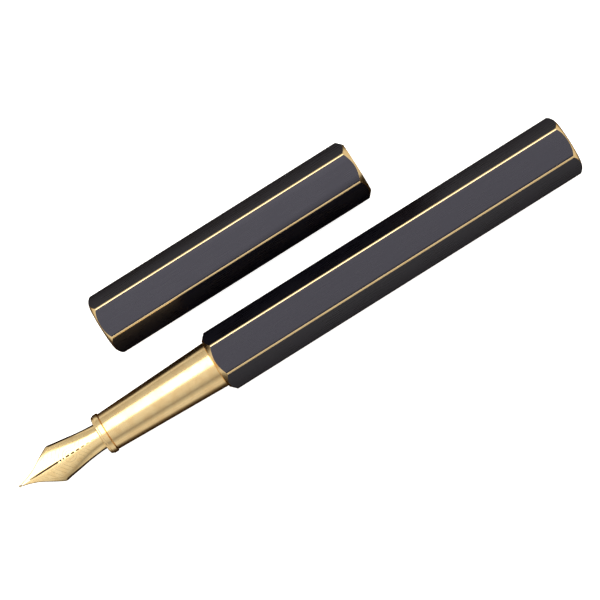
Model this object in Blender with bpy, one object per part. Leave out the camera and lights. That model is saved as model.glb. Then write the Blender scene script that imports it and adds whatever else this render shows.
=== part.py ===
# A hexagonal metal fountain pen, uncapped, with its cap lying beside it.
# Both pieces rest on one flat of the hexagon. The nib points to -X, the cap lies on the +Y side.
# Sizes are in millimetres and the meshes are in metres. Along the pen, 0 is the barrel's front face,
# and the nib is on the negative side. Along the cap, 0 is its closed end.

import math

import bmesh
import bpy
from mathutils import Matrix, Vector

MM = 0.001

# Driving sizes
HEX_FLATS = 11.0            # across the flats of the barrel and the cap
EDGE_FLAT = 0.35            # width of the bare strip along each long edge
BARREL_LENGTH = 79.5
CAP_LENGTH = 57.7
SECTION_REACH = 25.9        # how far the grip section stands out of the barrel
NIB_REACH = 18.4            # how far the nib stands out of the grip section
AXIS_SPACING = 17.5         # from the pen's axis to the cap's axis
CAP_LEAD = 14.8             # how far the cap's closed end lies ahead of the barrel's front face

# Fits
TOUCH = 0.1                 # gap between pieces that touch
SLIP = 0.05                 # gap between a piece and the bore it slides in
EDGE_BREAK = 0.2            # small chamfers

# Turned ends of the hexagonal pieces
FACE_RADIUS = 5.1           # flat ring left at the coned end
CONE_DEPTH = 1.6
BLANK_RADIUS = 6.8          # clears the corners of the hexagon
DOME_FACE_RADIUS = 4.29     # flat disc left at the rounded end
DOME_RADIUS = 2.33
DOME_STEPS = 8

# Barrel bores
SEAL_SEAT_RADIUS = 4.6
SEAL_SEAT_DEPTH = 1.0
THREAD_BORE_RADIUS = 4.45
THREAD_BORE_DEPTH = 9.0
BARREL_BORE_RADIUS = 4.2
BARREL_BORE_DEPTH = 75.0
DRILL_POINT = 2.5

# Grip section
SHOULDER_RADIUS = 4.8
THROAT_RADIUS = 3.93        # just behind the front ring
TENON_RADIUS = 4.35
TENON_LENGTH = 7.6
TENON_CHAMFER = 0.3
SEAL_GROOVE_RADIUS = 3.95
SEAL_GROOVE_END = 0.75
SEAL_WIRE = 0.27            # radius of the o-ring's round section
SEAL_PLAY = 0.03
SECTION_BORE_RADIUS = 3.55
SECTION_STOP_REAR = -11.9
SECTION_STOP_FRONT = -12.6
STOP_HOLE_RADIUS = 2.0
HOUSING_BORE_RADIUS = 3.2
SPIGOT_RADIUS = 3.6
RING_LENGTH = 1.6
RING_RADIUS = 4.2
RING_LIP_RADIUS = 3.85
RING_LIP_ROUND = 0.35
RING_LIP_LENGTH = 0.5

# Nib unit
HOUSING_RADIUS = 3.15
HOUSING_SETBACK = 0.3       # behind the front of the grip section
HOUSING_INNER_RADIUS = 2.85
HOUSING_FLOOR = -14.2
NIPPLE_RADIUS = 1.35
NIPPLE_HOLE_RADIUS = 0.6
NIPPLE_END = -7.0
NIB_SHEET = 0.24
SLIT_WIDTH = 0.12
BREATHER_RADIUS = 0.32
BREATHER_REACH = 8.8        # ahead of the grip section
TIPPING_RADIUS = 0.33
FEED_RADIUS = 2.78
FEED_REAR = -14.4
FIN_COUNT = 8
FIN_PITCH = 0.9
FIN_ROOT_RADIUS = 2.2
FIRST_FIN = -26.6
FEED_TIP = -42.0
FEED_LIFT = 1.0             # how far the feed's beak rises towards the nib
BEAK_STEPS = 8
BEAK_TAPER = 0.35

# Nib stations: distance ahead of the grip section, half width, radius of the arc across, crown height
NIB_STATIONS = (
    (-11.0, 2.55, 2.72, 2.72),
    (0.0, 2.66, 2.80, 2.72),
    (3.5, 2.93, 3.50, 2.68),
    (6.5, 3.38, 4.90, 2.54),
    (9.0, 3.78, 6.30, 2.36),
    (9.8, 3.84, 6.70, 2.30),
    (10.6, 3.58, 6.90, 2.23),
    (12.4, 2.56, 6.80, 2.05),
    (14.3, 1.47, 6.00, 1.82),
    (16.2, 0.70, 4.60, 1.55),
    (17.7, 0.30, 3.20, 1.32),
)

# Converter
TUBE_FRONT = -11.2
TUBE_REAR = 32.0
TUBE_RADIUS = 3.4
TUBE_BORE_RADIUS = 2.75
MOUTH_BORE_RADIUS = 1.45
MOUTH_BORE_END = -6.3
RESERVOIR_FRONT = -5.0
BAND_FRONT = 22.0
BAND_REAR = 37.6
BAND_RADIUS = 3.75
NUT_FRONT = 30.2
NUT_REAR = 37.4
NUT_RADIUS = 3.3
ROD_RADIUS = 1.2
ROD_REAR = 61.6
PISTON_FRONT = 25.2
PISTON_REAR = 29.5
STUB_RADIUS = 0.9
BUTTON_RADIUS = 1.5
BUTTON_LENGTH = 0.7
LIP_LENGTH = 0.6            # the two lips of the piston's seal
LIP_SLOPE = 0.5
KNOB_FRONT = 37.8
KNOB_REAR = 64.5
KNOB_RADIUS = 3.6
KNOB_BORE_RADIUS = 2.5
KNOB_BORE_END = 62.5
KNOB_CHAMFER = 0.5

# Cap
CAP_BORE_RADIUS = 4.85
CAP_BORE_END = 4.5
LINER_CLOSED_END = 9.5
LINER_MOUTH = 36.0
LINER_RADIUS = 4.75
LINER_BORE_RADIUS = 4.3
LINER_FLOOR = 1.0
LINER_CHAMFER = 0.5
SNAP_GROOVE = (34.2, 35.2)
SNAP_GROOVE_RADIUS = 4.55
SNAP_INNER_RADIUS = 4.12
SNAP_GAP_DEGREES = 14.0

PEN_SEGMENTS = 48
SMALL_SEGMENTS = 32
FEED_SEGMENTS = 24
NIB_STEPS = 12              # faces across the nib
SMOOTH_ANGLE = math.radians(35)

# Places worked out from the driving sizes
OVERALL_LENGTH = BARREL_LENGTH + SECTION_REACH + NIB_REACH
BARREL_FACE_X = SECTION_REACH + NIB_REACH - OVERALL_LENGTH / 2
AXIS_HEIGHT = HEX_FLATS / 2


def clear_scene():
    for obj in list(bpy.data.objects):
        bpy.data.objects.remove(obj, do_unlink=True)


def make_material(name, colour, roughness, metallic, alpha=1.0):
    material = bpy.data.materials.new(name)
    material.use_nodes = True
    shader = material.node_tree.nodes["Principled BSDF"]
    shader.inputs["Base Color"].default_value = (*colour, 1.0)
    shader.inputs["Roughness"].default_value = roughness
    shader.inputs["Metallic"].default_value = metallic
    shader.inputs["Alpha"].default_value = alpha
    return material


def make_axis(name, x, y):
    axis = bpy.data.objects.new(name, None)
    axis.location = (x * MM, y * MM, AXIS_HEIGHT * MM)
    bpy.context.scene.collection.objects.link(axis)
    return axis


def finish(bm, name, axis, material=None):
    """Links the bmesh as an object on the given axis. Without a material it is a hidden cutter."""
    bmesh.ops.recalc_face_normals(bm, faces=bm.faces)
    mesh = bpy.data.meshes.new(name)
    bm.to_mesh(mesh)
    bm.free()
    obj = bpy.data.objects.new(name, mesh)
    bpy.context.scene.collection.objects.link(obj)
    obj.parent = axis
    if material is None:
        obj.hide_render = True
        obj.display_type = 'WIRE'
    else:
        mesh.materials.append(material)
        mesh.shade_smooth()
        mesh.set_sharp_from_angle(angle=SMOOTH_ANGLE)
    return obj


def turn(outline, segments=PEN_SEGMENTS, sweep=360.0):
    """Spins an outline of (along, radius) points about the X axis. A loop that stays off the axis makes
    a ring, and an outline whose two ends are on the axis makes a solid. A part turn gets end faces."""
    bm = bmesh.new()
    points = [bm.verts.new((along * MM, 0.0, radius * MM)) for along, radius in outline]
    edges = [bm.edges.new(pair) for pair in zip(points, points[1:])]
    if outline[0][1] > 0.0:
        edges.append(bm.edges.new((points[-1], points[0])))
    bmesh.ops.spin(bm, geom=points + edges, cent=(0, 0, 0), axis=(1, 0, 0),
                   angle=math.radians(sweep), steps=segments, use_merge=sweep == 360.0)
    bmesh.ops.remove_doubles(bm, verts=bm.verts, dist=1e-7)
    bmesh.ops.holes_fill(bm, edges=[edge for edge in bm.edges if edge.is_boundary], sides=len(outline))
    return bm


def arc(centre, radius, start, end, steps):
    """Points on an arc in the (along, radius) plane, angles in degrees."""
    for step in range(steps + 1):
        angle = math.radians(start + (end - start) * step / steps)
        yield (centre[0] + radius * math.cos(angle), centre[1] + radius * math.sin(angle))


def cut(obj, cutter, operation='DIFFERENCE'):
    modifier = obj.modifiers.new(cutter.name, 'BOOLEAN')
    modifier.operation = operation
    modifier.object = cutter
    modifier.solver = 'EXACT'


def hexagon_bar(length):
    """A hexagonal bar along X with one flat on top, its six long edges cut to narrow flats."""
    corner = HEX_FLATS / math.sqrt(3.0)
    bm = bmesh.new()
    along_x = Matrix.Translation((length * MM / 2, 0, 0)) @ Matrix.Rotation(math.pi / 2, 4, 'Y')
    bmesh.ops.create_cone(bm, cap_ends=True, segments=6, radius1=corner * MM, radius2=corner * MM,
                          depth=length * MM, matrix=along_x)
    long_edges = [e for e in bm.edges if abs(e.verts[0].co.x - e.verts[1].co.x) > length * MM / 2]
    bmesh.ops.bevel(bm, geom=long_edges, offset=EDGE_FLAT * MM, offset_type='WIDTH', segments=1,
                    affect='EDGES')
    return bm


def hexagon_blank(length):
    """The turned shape that a hexagonal piece is cut to: a cone at 0 and a rounded end at the far end."""
    dome_start = length - DOME_RADIUS
    dome = list(arc((dome_start, DOME_FACE_RADIUS), DOME_RADIUS, 90, 0, DOME_STEPS))
    return [(0.0, 0.0), (0.0, FACE_RADIUS), (CONE_DEPTH, BLANK_RADIUS), *dome, (length, 0.0)]


def mirrored(outline, length):
    return [(length - along, radius) for along, radius in reversed(outline)]


def make_hexagonal(name, length, blank, bore, axis, material):
    body = finish(hexagon_bar(length), name, axis, material)
    cut(body, finish(turn(blank), name + "_blank", axis), 'INTERSECT')
    cut(body, finish(turn(bore), name + "_bore", axis))
    return body


def make_barrel(axis, material):
    bore = [
        (-1.0, 0.0), (-1.0, SEAL_SEAT_RADIUS),
        (SEAL_SEAT_DEPTH, SEAL_SEAT_RADIUS), (SEAL_SEAT_DEPTH, THREAD_BORE_RADIUS),
        (THREAD_BORE_DEPTH, THREAD_BORE_RADIUS), (THREAD_BORE_DEPTH, BARREL_BORE_RADIUS),
        (BARREL_BORE_DEPTH, BARREL_BORE_RADIUS), (BARREL_BORE_DEPTH + DRILL_POINT, 0.0),
    ]
    make_hexagonal("barrel_shell", BARREL_LENGTH, hexagon_blank(BARREL_LENGTH), bore, axis, material)


def make_section(axis, brass, rubber):
    ring_rear = RING_LENGTH - SECTION_REACH
    spigot_front = 2 * TOUCH - SECTION_REACH
    grip = [
        (spigot_front, HOUSING_BORE_RADIUS), (spigot_front, SPIGOT_RADIUS),
        (ring_rear, SPIGOT_RADIUS), (ring_rear, THROAT_RADIUS),
        (-TOUCH, SHOULDER_RADIUS), (-TOUCH, SEAL_GROOVE_RADIUS),
        (SEAL_GROOVE_END, SEAL_GROOVE_RADIUS), (SEAL_GROOVE_END, TENON_RADIUS),
        (TENON_LENGTH - TENON_CHAMFER, TENON_RADIUS), (TENON_LENGTH, TENON_RADIUS - TENON_CHAMFER),
        (TENON_LENGTH, SECTION_BORE_RADIUS), (SECTION_STOP_REAR, SECTION_BORE_RADIUS),
        (SECTION_STOP_REAR, STOP_HOLE_RADIUS), (SECTION_STOP_FRONT, STOP_HOLE_RADIUS),
        (SECTION_STOP_FRONT, HOUSING_BORE_RADIUS),
    ]
    finish(turn(grip), "section_grip", axis, brass)

    lip_centre = (-SECTION_REACH + RING_LIP_ROUND, RING_LIP_RADIUS)
    lip = list(arc(lip_centre, RING_LIP_ROUND, 180, 90, 3))
    ring_inner = SPIGOT_RADIUS + SLIP
    ring = [
        (-SECTION_REACH, ring_inner), *lip, (-SECTION_REACH + RING_LIP_LENGTH, RING_RADIUS),
        (ring_rear - TOUCH - EDGE_BREAK, RING_RADIUS), (ring_rear - TOUCH, RING_RADIUS - EDGE_BREAK),
        (ring_rear - TOUCH, ring_inner),
    ]
    finish(turn(ring), "section_ring", axis, brass)

    seal_centre = (SEAL_WIRE + SEAL_PLAY, SEAL_GROOVE_RADIUS + SEAL_PLAY + SEAL_WIRE)
    seal = list(arc(seal_centre, SEAL_WIRE, 0, 315, 7))
    finish(turn(seal), "section_o_ring", axis, rubber)


def nib_form(reach):
    """Half width, arc radius and crown height of the nib at a distance ahead of the grip section."""
    spans = list(zip(NIB_STATIONS, NIB_STATIONS[1:]))
    index = next((i for i, (_, b) in enumerate(spans) if reach <= b[0]), len(spans) - 1)
    before = NIB_STATIONS[max(index - 1, 0)]
    first, second = spans[index]
    after = NIB_STATIONS[min(index + 2, len(NIB_STATIONS) - 1)]
    length = second[0] - first[0]
    part = (reach - first[0]) / length
    values = []
    for k in (1, 2, 3):
        slope_in = (second[k] - before[k]) / (second[0] - before[0]) * length
        slope_out = (after[k] - first[k]) / (after[0] - first[0]) * length
        values.append(
            first[k] * (2 * part**3 - 3 * part**2 + 1) + slope_in * (part**3 - 2 * part**2 + part)
            + second[k] * (3 * part**2 - 2 * part**3) + slope_out * (part**3 - part**2))
    return values


def nib_point(reach, across, depth):
    """A point of the nib: across runs from -1 to 1 between its edges, depth is below its upper face."""
    half_width, radius, crown = nib_form(reach)
    angle = math.asin(min(half_width / radius, 0.999)) * across
    return Vector((-(SECTION_REACH + reach), (radius - depth) * math.sin(angle),
                   crown - radius + (radius - depth) * math.cos(angle))) * MM


def nib_reaches(first, last):
    """Stations close enough together to follow the outline, closest round the shoulders."""
    coarse, fine = 1.0, 0.3
    reach = first
    while reach < last - 0.05:
        yield reach
        reach += fine if 8.0 < reach < 11.5 else coarse if reach < 0 else 0.6
    yield last


def sheet_solid(reaches, upper_depth, lower):
    """A closed solid between the nib's arc at upper_depth and the points that lower gives."""
    bm = bmesh.new()
    rows = []
    for reach in reaches:
        shares = [2 * i / NIB_STEPS - 1 for i in range(NIB_STEPS + 1)]
        top = [bm.verts.new(nib_point(reach, share, upper_depth)) for share in shares]
        bottom = [bm.verts.new(lower(reach, share)) for share in shares]
        rows.append(top + bottom[::-1])
    for near, far in zip(rows, rows[1:]):
        for i in range(len(near)):
            j = (i + 1) % len(near)
            bm.faces.new((near[i], near[j], far[j], far[i]))
    for row in (rows[0], rows[-1]):
        for i in range(NIB_STEPS):
            bm.faces.new((row[i], row[i + 1], row[-2 - i], row[-1 - i]))
    return bm


def box(low, high):
    bm = bmesh.new()
    size = [(b - a) * MM for a, b in zip(low, high)]
    middle = [(a + b) / 2 * MM for a, b in zip(low, high)]
    bmesh.ops.create_cube(bm, size=1.0, matrix=Matrix.Translation(middle) @ Matrix.Diagonal((*size, 1.0)))
    return bm


def make_nib(axis, gold):
    last = NIB_STATIONS[-1][0]
    reaches = list(nib_reaches(NIB_STATIONS[0][0], last))
    nib = finish(sheet_solid(reaches, 0.0, lambda reach, share: nib_point(reach, share, NIB_SHEET)),
                 "nib", axis, gold)
    slit_rear = -(SECTION_REACH + BREATHER_REACH)
    slit = box((-(SECTION_REACH + last + 1.0), -SLIT_WIDTH / 2, -1.0), (slit_rear, SLIT_WIDTH / 2, 4.0))
    cut(nib, finish(slit, "nib_slit", axis))
    hole = bmesh.new()
    bmesh.ops.create_cone(hole, cap_ends=True, segments=20, radius1=BREATHER_RADIUS * MM,
                          radius2=BREATHER_RADIUS * MM, depth=4 * MM,
                          matrix=Matrix.Translation((slit_rear * MM, 0, 2 * MM)))
    cut(nib, finish(hole, "nib_breather", axis))


def make_tipping(name, side, axis, material):
    """Half of the hard pellet at the nib's point, on one side of the slit."""
    centre = Vector((TIPPING_RADIUS - SECTION_REACH - NIB_REACH, 0.0, NIB_STATIONS[-1][3] - NIB_SHEET)) * MM
    bm = bmesh.new()
    bmesh.ops.create_uvsphere(bm, u_segments=16, v_segments=8, radius=TIPPING_RADIUS * MM,
                              matrix=Matrix.Translation(centre))
    done = bmesh.ops.bisect_plane(bm, geom=bm.verts[:] + bm.edges[:] + bm.faces[:], dist=1e-7,
                                  plane_co=(0, side * SLIT_WIDTH / 2 * MM, 0), plane_no=(0, side, 0),
                                  clear_inner=True)
    rim = [item for item in done["geom_cut"] if isinstance(item, bmesh.types.BMEdge)]
    bmesh.ops.edgeloop_fill(bm, edges=rim)
    finish(bm, name, axis, material)


def make_feed(axis, plastic):
    outline = [(FEED_REAR, 0.0), (FEED_REAR, FEED_RADIUS), (FIRST_FIN + FIN_PITCH / 2, FEED_RADIUS)]
    for fin in range(FIN_COUNT):
        rear = FIRST_FIN - fin * FIN_PITCH
        outline += [(rear + FIN_PITCH / 2, FIN_ROOT_RADIUS), (rear, FIN_ROOT_RADIUS),
                    (rear, FEED_RADIUS), (rear - FIN_PITCH / 2, FEED_RADIUS)]
    beak_rear = outline[-1][0]
    for step in range(1, BEAK_STEPS):
        share = step / BEAK_STEPS
        outline.append((beak_rear + (FEED_TIP - beak_rear) * share,
                        FEED_RADIUS * math.sqrt(1 - share) * (1 - BEAK_TAPER * share)))
    outline.append((FEED_TIP, 0.0))
    bm = turn(outline, FEED_SEGMENTS)
    for vert in bm.verts:
        share = min(max((vert.co.x / MM - beak_rear) / (FEED_TIP - beak_rear), 0.0), 1.0)
        vert.co.z += FEED_LIFT * MM * share * share * (3 - 2 * share)
    feed = finish(bm, "feed", axis, plastic)

    # Everything under the nib, less a gap: the feed's upper side fits the nib's lower face.
    under = sheet_solid(
        list(nib_reaches(NIB_STATIONS[0][0] - 0.5, NIB_STATIONS[-1][0])), NIB_SHEET + TOUCH,
        lambda reach, share: Vector((-(SECTION_REACH + reach) * MM,
                                     nib_point(reach, share, NIB_SHEET + TOUCH).y, -4 * MM)))
    cut(feed, finish(under, "feed_space", axis), 'INTERSECT')


def make_housing(axis, plastic):
    front = -SECTION_REACH + HOUSING_SETBACK
    rear = SECTION_STOP_FRONT - TOUCH
    outline = [
        (front, HOUSING_INNER_RADIUS), (front, HOUSING_RADIUS), (rear, HOUSING_RADIUS),
        (rear, NIPPLE_RADIUS), (NIPPLE_END - EDGE_BREAK, NIPPLE_RADIUS),
        (NIPPLE_END, NIPPLE_RADIUS - EDGE_BREAK), (NIPPLE_END, NIPPLE_HOLE_RADIUS),
        (HOUSING_FLOOR, NIPPLE_HOLE_RADIUS), (HOUSING_FLOOR, HOUSING_INNER_RADIUS),
    ]
    finish(turn(outline, SMALL_SEGMENTS), "nib_housing", axis, plastic)


def make_converter(axis, clear, chrome, plastic, rubber):
    tube = [
        (TUBE_FRONT, MOUTH_BORE_RADIUS), (TUBE_FRONT, TUBE_RADIUS - EDGE_BREAK),
        (TUBE_FRONT + EDGE_BREAK, TUBE_RADIUS), (TUBE_REAR, TUBE_RADIUS), (TUBE_REAR, TUBE_BORE_RADIUS),
        (RESERVOIR_FRONT, TUBE_BORE_RADIUS), (MOUTH_BORE_END, MOUTH_BORE_RADIUS),
    ]
    finish(turn(tube, SMALL_SEGMENTS), "converter_tube", axis, clear)

    band_inner = TUBE_RADIUS + TOUCH
    band = [(BAND_FRONT, band_inner), (BAND_FRONT, BAND_RADIUS), (BAND_REAR, BAND_RADIUS),
            (BAND_REAR, band_inner)]
    finish(turn(band, SMALL_SEGMENTS), "converter_band", axis, chrome)

    nut_hole = ROD_RADIUS + SLIP
    nut = [
        (NUT_FRONT, nut_hole), (NUT_FRONT, TUBE_BORE_RADIUS - TOUCH),
        (TUBE_REAR + TOUCH, TUBE_BORE_RADIUS - TOUCH), (TUBE_REAR + TOUCH, NUT_RADIUS),
        (NUT_REAR, NUT_RADIUS), (NUT_REAR, nut_hole),
    ]
    finish(turn(nut, SMALL_SEGMENTS), "spindle_nut", axis, plastic)

    button_rear = PISTON_FRONT + BUTTON_LENGTH
    rod = [
        (PISTON_FRONT, 0.0), (PISTON_FRONT, BUTTON_RADIUS - EDGE_BREAK),
        (PISTON_FRONT + EDGE_BREAK, BUTTON_RADIUS), (button_rear, BUTTON_RADIUS),
        (button_rear, STUB_RADIUS), (PISTON_REAR, STUB_RADIUS), (PISTON_REAR, ROD_RADIUS),
        (ROD_REAR - EDGE_BREAK, ROD_RADIUS), (ROD_REAR, ROD_RADIUS - EDGE_BREAK), (ROD_REAR, 0.0),
    ]
    finish(turn(rod, SMALL_SEGMENTS), "piston_rod", axis, plastic)

    lip = TUBE_BORE_RADIUS - SLIP
    waist = lip - LIP_SLOPE
    seal_front, seal_rear = button_rear + TOUCH, PISTON_REAR - TOUCH
    seal = [
        (seal_front, STUB_RADIUS + SLIP), (seal_front, lip), (seal_front + LIP_LENGTH, lip),
        (seal_front + LIP_LENGTH + LIP_SLOPE, waist), (seal_rear - LIP_LENGTH - LIP_SLOPE, waist),
        (seal_rear - LIP_LENGTH, lip), (seal_rear, lip), (seal_rear, STUB_RADIUS + SLIP),
    ]
    finish(turn(seal, SMALL_SEGMENTS), "piston_seal", axis, rubber)

    knob = [
        (KNOB_BORE_END, 0.0), (KNOB_BORE_END, KNOB_BORE_RADIUS), (KNOB_FRONT, KNOB_BORE_RADIUS),
        (KNOB_FRONT, KNOB_RADIUS - EDGE_BREAK), (KNOB_FRONT + EDGE_BREAK, KNOB_RADIUS),
        (KNOB_REAR - KNOB_CHAMFER, KNOB_RADIUS), (KNOB_REAR, KNOB_RADIUS - KNOB_CHAMFER),
        (KNOB_REAR, 0.0),
    ]
    finish(turn(knob, SMALL_SEGMENTS), "converter_knob", axis, chrome)

    core_outer = KNOB_BORE_RADIUS - TOUCH
    core = [(KNOB_FRONT + TOUCH, nut_hole), (KNOB_FRONT + TOUCH, core_outer),
            (KNOB_BORE_END - TOUCH, core_outer), (KNOB_BORE_END - TOUCH, nut_hole)]
    finish(turn(core, SMALL_SEGMENTS), "knob_core", axis, plastic)


def make_cap(axis, lacquer, plastic, spring_metal):
    bore = [
        (CAP_BORE_END - DRILL_POINT, 0.0), (CAP_BORE_END, CAP_BORE_RADIUS),
        (CAP_LENGTH + 1.0, CAP_BORE_RADIUS), (CAP_LENGTH + 1.0, 0.0),
    ]
    blank = mirrored(hexagon_blank(CAP_LENGTH), CAP_LENGTH)
    make_hexagonal("cap_shell", CAP_LENGTH, blank, bore, axis, lacquer)

    groove_rear, groove_front = SNAP_GROOVE
    liner = [
        (LINER_CLOSED_END, 0.0), (LINER_CLOSED_END, LINER_RADIUS - LINER_CHAMFER),
        (LINER_CLOSED_END + LINER_CHAMFER, LINER_RADIUS), (LINER_MOUTH, LINER_RADIUS),
        (LINER_MOUTH, LINER_BORE_RADIUS), (groove_front, LINER_BORE_RADIUS),
        (groove_front, SNAP_GROOVE_RADIUS), (groove_rear, SNAP_GROOVE_RADIUS),
        (groove_rear, LINER_BORE_RADIUS), (LINER_CLOSED_END + LINER_FLOOR, LINER_BORE_RADIUS),
        (LINER_CLOSED_END + LINER_FLOOR, 0.0),
    ]
    finish(turn(liner), "cap_liner", axis, plastic)

    snap_outer = SNAP_GROOVE_RADIUS - SLIP
    snap = [(groove_rear + TOUCH, SNAP_INNER_RADIUS), (groove_rear + TOUCH, snap_outer),
            (groove_front - TOUCH, snap_outer), (groove_front - TOUCH, SNAP_INNER_RADIUS)]
    finish(turn(snap, PEN_SEGMENTS, 360.0 - SNAP_GAP_DEGREES), "cap_snap_ring", axis, spring_metal)


def main():
    clear_scene()
    lacquer = make_material("black_lacquer", (0.035, 0.033, 0.043), 0.42, 0.0)
    brass = make_material("satin_brass", (0.80, 0.60, 0.30), 0.28, 1.0)
    gold = make_material("gold_plate", (0.90, 0.70, 0.38), 0.18, 1.0)
    hard_alloy = make_material("tipping_alloy", (0.80, 0.74, 0.62), 0.25, 1.0)
    black_plastic = make_material("black_plastic", (0.02, 0.02, 0.022), 0.35, 0.0)
    clear_plastic = make_material("clear_plastic", (0.85, 0.88, 0.90), 0.08, 0.0, 0.35)
    chrome = make_material("polished_chrome", (0.78, 0.78, 0.80), 0.08, 1.0)
    rubber = make_material("black_rubber", (0.03, 0.03, 0.03), 0.7, 0.0)
    liner_plastic = make_material("liner_plastic", (0.07, 0.07, 0.075), 0.5, 0.0)
    spring_steel = make_material("spring_steel", (0.55, 0.55, 0.56), 0.3, 1.0)

    pen_axis = make_axis("pen_axis", BARREL_FACE_X, -AXIS_SPACING / 2)
    cap_axis = make_axis("cap_axis", BARREL_FACE_X - CAP_LEAD, AXIS_SPACING / 2)

    make_barrel(pen_axis, lacquer)
    make_section(pen_axis, brass, rubber)
    make_housing(pen_axis, black_plastic)
    make_feed(pen_axis, black_plastic)
    make_nib(pen_axis, gold)
    make_tipping("tipping_left", 1, pen_axis, hard_alloy)
    make_tipping("tipping_right", -1, pen_axis, hard_alloy)
    make_converter(pen_axis, clear_plastic, chrome, black_plastic, rubber)
    make_cap(cap_axis, lacquer, liner_plastic, spring_steel)


main()
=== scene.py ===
import math

import bmesh
import bpy
from mathutils import Matrix, Vector


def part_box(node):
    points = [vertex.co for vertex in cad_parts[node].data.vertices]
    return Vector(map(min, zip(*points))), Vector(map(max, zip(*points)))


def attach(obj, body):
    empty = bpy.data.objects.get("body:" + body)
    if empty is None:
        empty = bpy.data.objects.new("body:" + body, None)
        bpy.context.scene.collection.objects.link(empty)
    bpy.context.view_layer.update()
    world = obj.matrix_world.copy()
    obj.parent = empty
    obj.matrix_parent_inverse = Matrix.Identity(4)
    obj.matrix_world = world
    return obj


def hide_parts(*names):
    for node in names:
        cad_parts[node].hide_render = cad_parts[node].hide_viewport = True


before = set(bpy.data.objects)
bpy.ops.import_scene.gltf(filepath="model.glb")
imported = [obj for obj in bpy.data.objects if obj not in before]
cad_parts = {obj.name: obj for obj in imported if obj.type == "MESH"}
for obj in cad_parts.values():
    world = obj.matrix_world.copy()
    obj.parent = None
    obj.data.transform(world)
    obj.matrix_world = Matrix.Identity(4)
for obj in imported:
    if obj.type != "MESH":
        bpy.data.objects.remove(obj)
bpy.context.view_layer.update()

mm = 0.001
fullTurn = 2 * math.pi
threadPoints = 6                                 # points along each pitch of a thread

# places read from the frame: the pen and the cap each lie along X
barrelLow, barrelHigh = (Vector(corner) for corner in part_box("barrel_shell"))
capLow, capHigh = (Vector(corner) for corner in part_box("cap_shell"))
ringLow = Vector(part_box("section_ring")[0])
penStart = Vector((barrelLow.x, (barrelLow.y + barrelHigh.y) / 2, (barrelLow.z + barrelHigh.z) / 2))
capStart = Vector((capLow.x, (capLow.y + capHigh.y) / 2, (capLow.z + capHigh.z) / 2))
sectionReach = (penStart.x - ringLow.x) / mm
for axisName, start in (("pen", penStart), ("cap", capStart)):
    print("frame read:", axisName, "starts at", tuple(round(v, 5) for v in start))


# shader maths
class Wire:                                      # one socket, so that sums can be written as sums
    def __init__(self, finish, socket):
        self.finish = finish
        self.socket = socket

    def combine(self, operation, *others):
        return self.finish.node("ShaderNodeMath", {"operation": operation}, dict(enumerate((self, *others))))

    def __add__(self, other):
        return self.combine("ADD", other)

    def __radd__(self, other):
        return self.combine("ADD", other)

    def __sub__(self, other):
        return self.combine("SUBTRACT", other)

    def __rsub__(self, other):
        return self.finish.node("ShaderNodeMath", {"operation": "SUBTRACT"}, {0: other, 1: self})

    def __mul__(self, other):
        return self.combine("MULTIPLY", other)

    def __rmul__(self, other):
        return self.combine("MULTIPLY", other)

    def __truediv__(self, other):
        return self.combine("DIVIDE", other)

    def fade(self, low, high):                   # 0 below low, 1 above high, smooth between
        return self.finish.node("ShaderNodeMapRange", {"interpolation_type": "SMOOTHSTEP"},
                                {"Value": self, "From Min": low, "From Max": high})

    def band(self, centre, half, soft):          # 1 within half of centre, 0 outside, soft edges
        return 1.0 - (self - centre).combine("ABSOLUTE").fade(half, half + soft)


class Finish:                                    # the nodes of one material, or of the world
    def __init__(self, owner, shader, fixed):
        owner.use_nodes = True
        self.tree = owner.node_tree
        self.shader = self.tree.nodes[shader]
        for socket, value in fixed.items():
            self.shader.inputs[socket].default_value = value

    def node(self, kind, settings, sockets, output=0):
        made = self.tree.nodes.new(kind)
        for key, value in settings.items():
            if key == "stops":
                while len(made.color_ramp.elements) < len(value):
                    made.color_ramp.elements.new(1.0)
                for element, (position, shade) in zip(made.color_ramp.elements, value):
                    element.position = position
                    element.color = shade
            else:
                setattr(made, key, value)
        for key, value in sockets.items():
            if isinstance(value, Wire):
                self.tree.links.new(value.socket, made.inputs[key])
            else:
                made.inputs[key].default_value = value
        return Wire(self, made.outputs[output])

    def place(self, start, scale=(1.0, 1.0, 1.0)):     # object coordinates in millimetres from a point
        coords = self.node("ShaderNodeTexCoord", {}, {}, "Object")
        return self.node("ShaderNodeMapping", {}, {
            "Vector": coords,
            "Location": tuple(-c / mm * s for c, s in zip(start, scale)),
            "Scale": tuple(s / mm for s in scale)})

    def parts(self, vector):
        return [self.node("ShaderNodeSeparateXYZ", {}, {0: vector}, axis) for axis in "XYZ"]

    def vector(self, x, y, z):
        return self.node("ShaderNodeCombineXYZ", {}, {"X": x, "Y": y, "Z": z})

    def noise(self, vector, scale, detail=3.0, roughness=0.55):
        return self.node("ShaderNodeTexNoise", {}, {"Vector": vector, "Scale": scale, "Detail": detail,
                                                    "Roughness": roughness})

    def mix(self, factor, first, second):
        return self.node("ShaderNodeMix", {"data_type": "RGBA"}, {0: factor, 6: first, 7: second}, 2)

    def bump(self, height, strength, distance):
        return self.node("ShaderNodeBump", {}, {"Height": height, "Strength": strength,
                                                "Distance": distance * mm})

    def feed(self, socket, wire):
        self.tree.links.new(wire.socket, self.shader.inputs[socket])


def newFinish(name, fixed):
    material = bpy.data.materials.new(name)
    return material, Finish(material, "Principled BSDF", fixed)


def colour(red, green, blue):
    return (red, green, blue, 1.0)


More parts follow.
